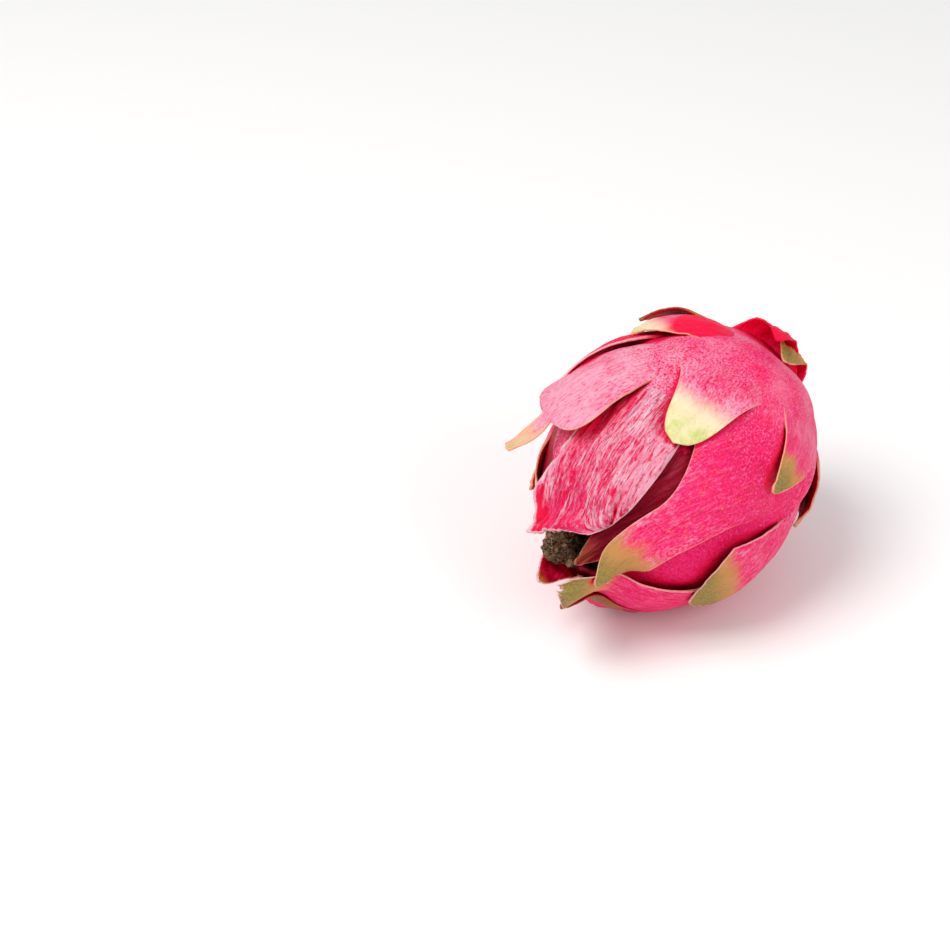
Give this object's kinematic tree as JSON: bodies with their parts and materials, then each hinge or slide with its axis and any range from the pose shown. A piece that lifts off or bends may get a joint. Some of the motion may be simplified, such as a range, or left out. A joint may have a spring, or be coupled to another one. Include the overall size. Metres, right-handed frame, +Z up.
{
  "type": "dragon fruit",
  "caption": "Whole red-skinned dragon fruit lying on its side, with broad leafy scales, a navel with dried flower remains and a cut stem stub.",
  "frame": {"origin": "centre of the bounding box's bottom, on the surface that the fruit rests on", "axes": "+X along the fruit towards the flower end, which hangs down 6 degrees, +Z up"},
  "size_m": [0.1422, 0.1014, 0.0948],
  "materials": {
    "rind": "satin",
    "dried_flower": "matte",
    "stem": "matte"
  },
  "bodies": {
    "root": {"fruit": "rind", "dried_flower": "dried_flower", "stem_stub": "stem"}
  },
  "joints": []
}
